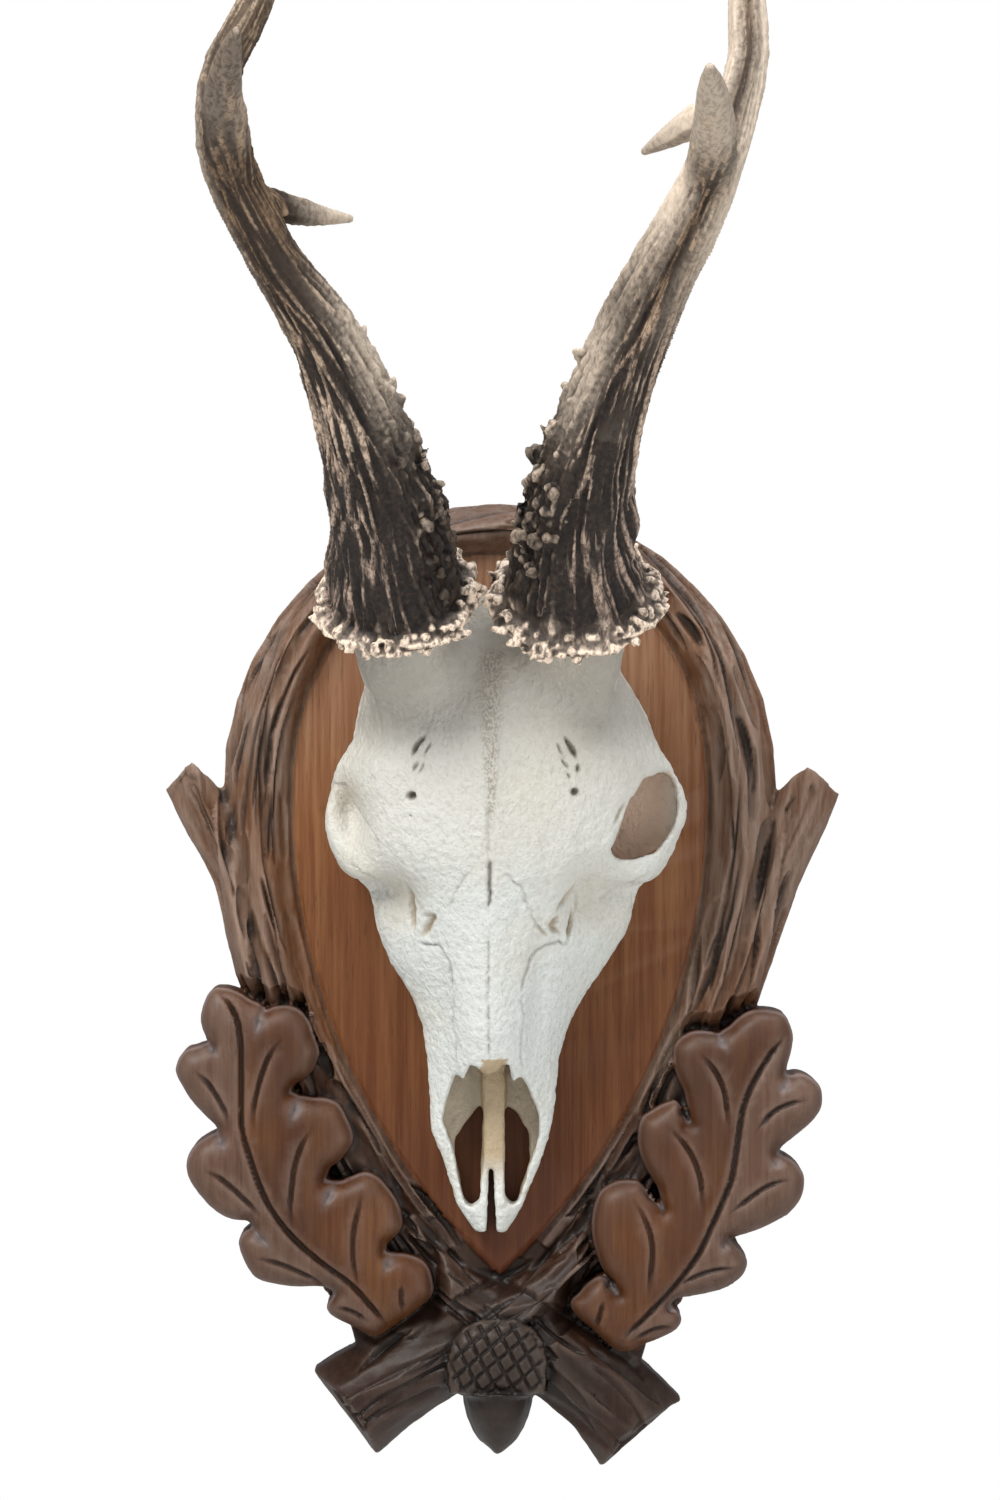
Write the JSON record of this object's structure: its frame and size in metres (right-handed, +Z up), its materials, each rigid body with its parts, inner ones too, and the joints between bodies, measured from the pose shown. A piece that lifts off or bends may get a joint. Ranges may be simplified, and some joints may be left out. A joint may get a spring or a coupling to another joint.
{
  "type": "antler mounting plaque",
  "caption": "Egg-shaped carved wall plaque with bark wreath, oak leaves, crossed logs and acorn, carrying a bleached roe deer skull with its antlers.",
  "frame": {"origin": "on the plaque's flat back, which lies on the wall, on its upright middle line and 122 mm above its lowest point", "axes": "+Z up the wall, +Y into the wall, the front of the plaque faces -Y, +X to the right of someone who looks at it"},
  "size_m": [0.1692, 0.1855, 0.371],
  "materials": {
    "dark_stained_wood": "dark brown stain under a satin varnish, lighter on worn edges, darker in the cuts",
    "bleached_bone": null,
    "antler": null
  },
  "bodies": {
    "root": {"plaque": "dark_stained_wood", "skull": "bleached_bone", "antler_left": "antler", "antler_right": "antler"}
  },
  "joints": []
}
